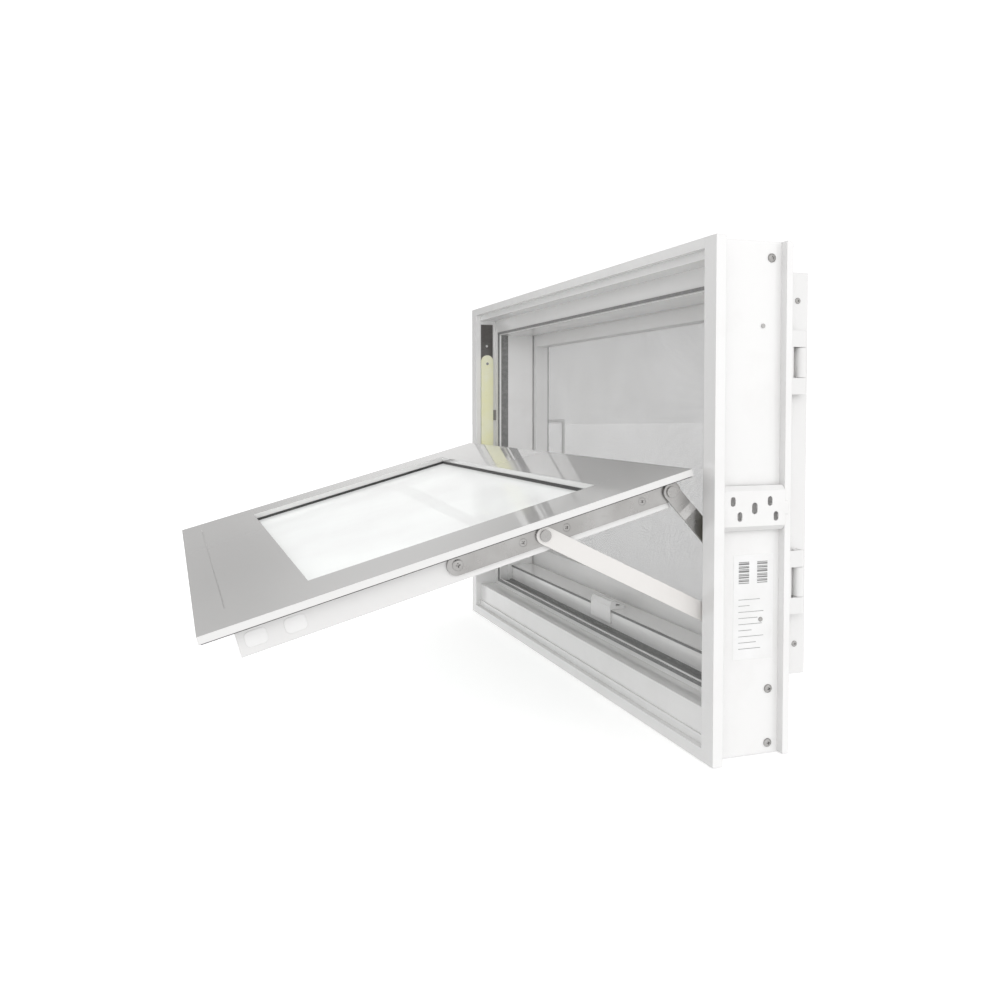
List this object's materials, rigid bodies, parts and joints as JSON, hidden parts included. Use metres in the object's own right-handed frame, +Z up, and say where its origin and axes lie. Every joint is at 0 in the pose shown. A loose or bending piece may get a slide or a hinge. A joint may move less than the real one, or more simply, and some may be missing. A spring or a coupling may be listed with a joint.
{
  "type": "top-hung projecting window",
  "caption": "White aluminium top-hung window, sash open on cranked stay arms, with a cam handle, gaskets, frame anchor clips and a hinged insect screen.",
  "frame": {"origin": "under the middle of the sill nose, on the frame's bottom face, half way through the nose's depth", "axes": "+X to the right seen from outside, +Y towards the room, +Z up"},
  "size_m": [0.9, 0.7329, 0.6],
  "materials": {
    "frame_white": "gloss white powder coat",
    "sash_white": "gloss white powder coat",
    "screen_white": "satin white powder coat",
    "clip_white": "white powder coat",
    "arm_cream": "creamy white paint",
    "pull_white": "white paint",
    "seal_grey": "mid grey seal",
    "seal_black": "matt black seal",
    "spline_grey": "dark grey vinyl",
    "stainless": "brushed stainless",
    "dark_steel": "dark plated",
    "zinc_yellow": "pale yellow zinc plate",
    "fixings": "zinc plated",
    "pins": "polished steel",
    "keeper_plastic": "white moulded plastic",
    "handle_white": "white paint",
    "lock_steel": "zinc plated",
    "glass": "clear",
    "mesh_grey": "fine woven wire",
    "label_paper": "plain sticker"
  },
  "bodies": {
    "frame": {"jamb_left": "frame_white", "jamb_right": "frame_white", "head_rail": "frame_white", "sill_rail": "frame_white", "frame_stop_seal": "seal_grey", "jamb_groove_seals": "seal_grey", "sill_channel_seal": "seal_grey", "sill_edge_seal": "seal_grey", "corner_screws": "fixings", "web_rivets": "fixings", "jamb_label": "label_paper", "jamb_tabs": "fixings", "anchor_clip_left": "clip_white", "anchor_clip_right": "clip_white", "stay_track_left": "dark_steel", "stay_track_right": "dark_steel", "guide_bar_left": "zinc_yellow", "guide_bar_right": "zinc_yellow", "guide_rivets": "fixings", "frame_pivots": "pins", "latch_keeper": "keeper_plastic", "keeper_screws": "fixings", "hinge_fixed_leaves": "screen_white", "hinge_pins": "pins"},
    "sash": {"sash_stile_left": "sash_white", "sash_stile_right": "sash_white", "sash_top_rail": "sash_white", "sash_bottom_rail": "sash_white", "glass_pane": "glass", "glazing_seal_outer": "seal_black", "glazing_seal_inner": "seal_black", "glazing_bead_stiles": "sash_white", "glazing_bead_rails": "sash_white", "sash_gasket": "seal_black", "sash_bar_left": "stainless", "sash_bar_right": "stainless", "sash_bar_screws": "fixings", "sash_pivots": "pins", "handle_base": "handle_white", "handle_screws": "fixings"},
    "handle": {"handle_spindle": "lock_steel", "lock_tongue": "lock_steel", "handle_lever": "handle_white"},
    "screen": {"screen_stile_left": "screen_white", "screen_stile_right": "screen_white", "screen_top_rail": "screen_white", "screen_bottom_rail": "screen_white", "screen_mesh": "mesh_grey", "screen_spline": "spline_grey", "screen_screws": "fixings", "screen_pull": "pull_white", "hinge_moving_leaves": "screen_white"},
    "long_arm_right": {"long_arm_right": "arm_cream"},
    "long_arm_left": {"long_arm_left": "arm_cream"},
    "short_arm_right": {"short_arm_right": "stainless"},
    "short_arm_left": {"short_arm_left": "stainless"},
    "shoe_right": {"shoe_right": "dark_steel", "shoe_pivot_right": "pins"},
    "shoe_left": {"shoe_left": "dark_steel", "shoe_pivot_left": "pins"}
  },
  "joints": [
    {"name": "sash_opening", "type": "hinge", "parent": "frame", "child": "long_arm_right", "pos_m": [0.415, 0.0135, 0.16386], "axis": [1, 0, 0], "range_deg": [-63.5, 0]},
    {"name": "sash_pivot", "type": "hinge", "parent": "long_arm_right", "child": "sash", "pos_m": [0.409, -0.19559, 0.26811], "axis": [1, 0, 0], "range_deg": [0, 138.02]},
    {"name": "left_arm_swing", "type": "hinge", "parent": "frame", "child": "long_arm_left", "pos_m": [-0.415, 0.0135, 0.16386], "axis": [1, 0, 0], "range_deg": [-63.51, 0]},
    {"name": "screen_swing", "type": "hinge", "parent": "frame", "child": "screen", "pos_m": [0.4315, 0.1195, 0.331], "axis": [0, 0, -1], "range_deg": [0, 95]},
    {"name": "handle_turn", "type": "hinge", "parent": "sash", "child": "handle", "pos_m": [0.015, -0.45519, 0.17329], "axis": [0, 0.2672, -0.9636], "range_deg": [0, 90]},
    {"name": "short_arm_right_pivot", "type": "hinge", "parent": "sash", "child": "short_arm_right", "pos_m": [0.412, -0.04045, 0.31113], "axis": [1, 0, 0], "range_deg": [-114.92, 0]},
    {"name": "shoe_right_pivot", "type": "hinge", "parent": "short_arm_right", "child": "shoe_right", "pos_m": [0.416, 0.0155, 0.24848], "axis": [1, 0, 0], "range_deg": [0, 40.42]},
    {"name": "short_arm_left_pivot", "type": "hinge", "parent": "sash", "child": "short_arm_left", "pos_m": [-0.412, -0.04045, 0.31113], "axis": [1, 0, 0], "range_deg": [-114.92, 0]},
    {"name": "shoe_left_pivot", "type": "hinge", "parent": "short_arm_left", "child": "shoe_left", "pos_m": [-0.416, 0.0155, 0.24848], "axis": [1, 0, 0], "range_deg": [0, 40.42]}
  ],
  "couplings": [
    {"joint": "sash_pivot", "follows": "sash_opening", "ratio": -2.1732},
    {"joint": "left_arm_swing", "follows": "sash_opening", "ratio": 1},
    {"joint": "short_arm_right_pivot", "follows": "sash_opening", "ratio": 1.8094},
    {"joint": "shoe_right_pivot", "follows": "sash_opening", "ratio": -0.6362},
    {"joint": "short_arm_left_pivot", "follows": "sash_opening", "ratio": 1.8094},
    {"joint": "shoe_left_pivot", "follows": "sash_opening", "ratio": -0.6362}
  ]
}
